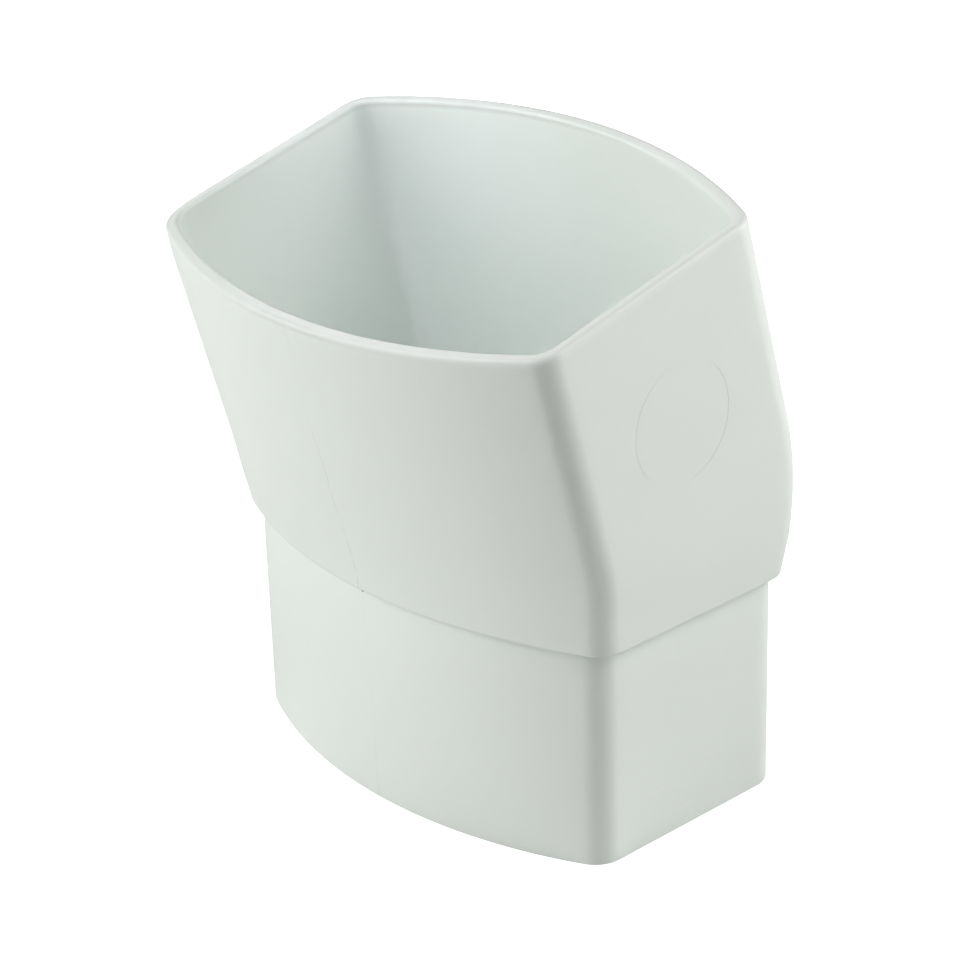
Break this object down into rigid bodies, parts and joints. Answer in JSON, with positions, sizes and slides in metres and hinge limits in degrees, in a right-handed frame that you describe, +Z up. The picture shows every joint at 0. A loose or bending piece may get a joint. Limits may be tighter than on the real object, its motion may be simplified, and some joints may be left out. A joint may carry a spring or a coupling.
{
  "type": "downspout elbow",
  "caption": "Moulded plastic elbow for a flat-sided oval rainwater pipe, with a spigot below and a socket above that leans slightly towards its crowned front.",
  "frame": {"origin": "middle of the spigot's lower end", "axes": "+Z up the spigot, X across the wide side of the pipe, and the socket leans towards -Y"},
  "size_m": [0.1142, 0.0973, 0.1322],
  "materials": {
    "pvc": "smooth moulded pale grey PVC with a soft satin sheen"
  },
  "bodies": {
    "root": {"elbow": "pvc"}
  },
  "joints": []
}
